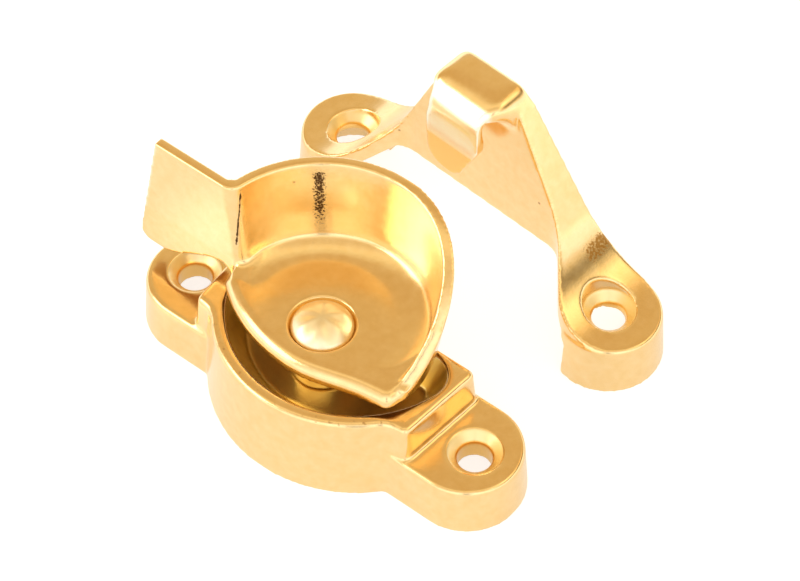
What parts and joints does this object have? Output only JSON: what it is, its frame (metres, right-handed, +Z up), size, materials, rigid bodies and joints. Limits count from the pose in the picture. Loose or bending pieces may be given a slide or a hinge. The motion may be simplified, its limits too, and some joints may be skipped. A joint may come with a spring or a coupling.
{
  "type": "window lock",
  "caption": "Cam lock for a sash window: round-fronted base with a turning cup-shaped cam and thumb lever, and an arched keeper whose hanging nose the cam's wall hooks behind.",
  "frame": {"origin": "middle of the lock's two screw holes, on the mounting plane", "axes": "+X along the lock's screw holes, +Y towards the keeper, +Z up from the sash rail"},
  "size_m": [0.0713, 0.063, 0.0412],
  "materials": {
    "casting": "polished brass plate over a zinc die casting",
    "rivet": "polished brass plate over steel",
    "washer": "plain steel"
  },
  "bodies": {
    "castings": {"base": "casting", "bow_washer": "washer", "keeper": "casting"},
    "cam": {"cam_lever": "casting", "pivot_rivet": "rivet", "flat_washer": "washer"}
  },
  "joints": [
    {"name": "cam_turn", "type": "hinge", "parent": "castings", "child": "cam", "pos_m": [0, -0.0019, 0], "axis": [0, 0, 1], "range_deg": [0, 180]}
  ]
}
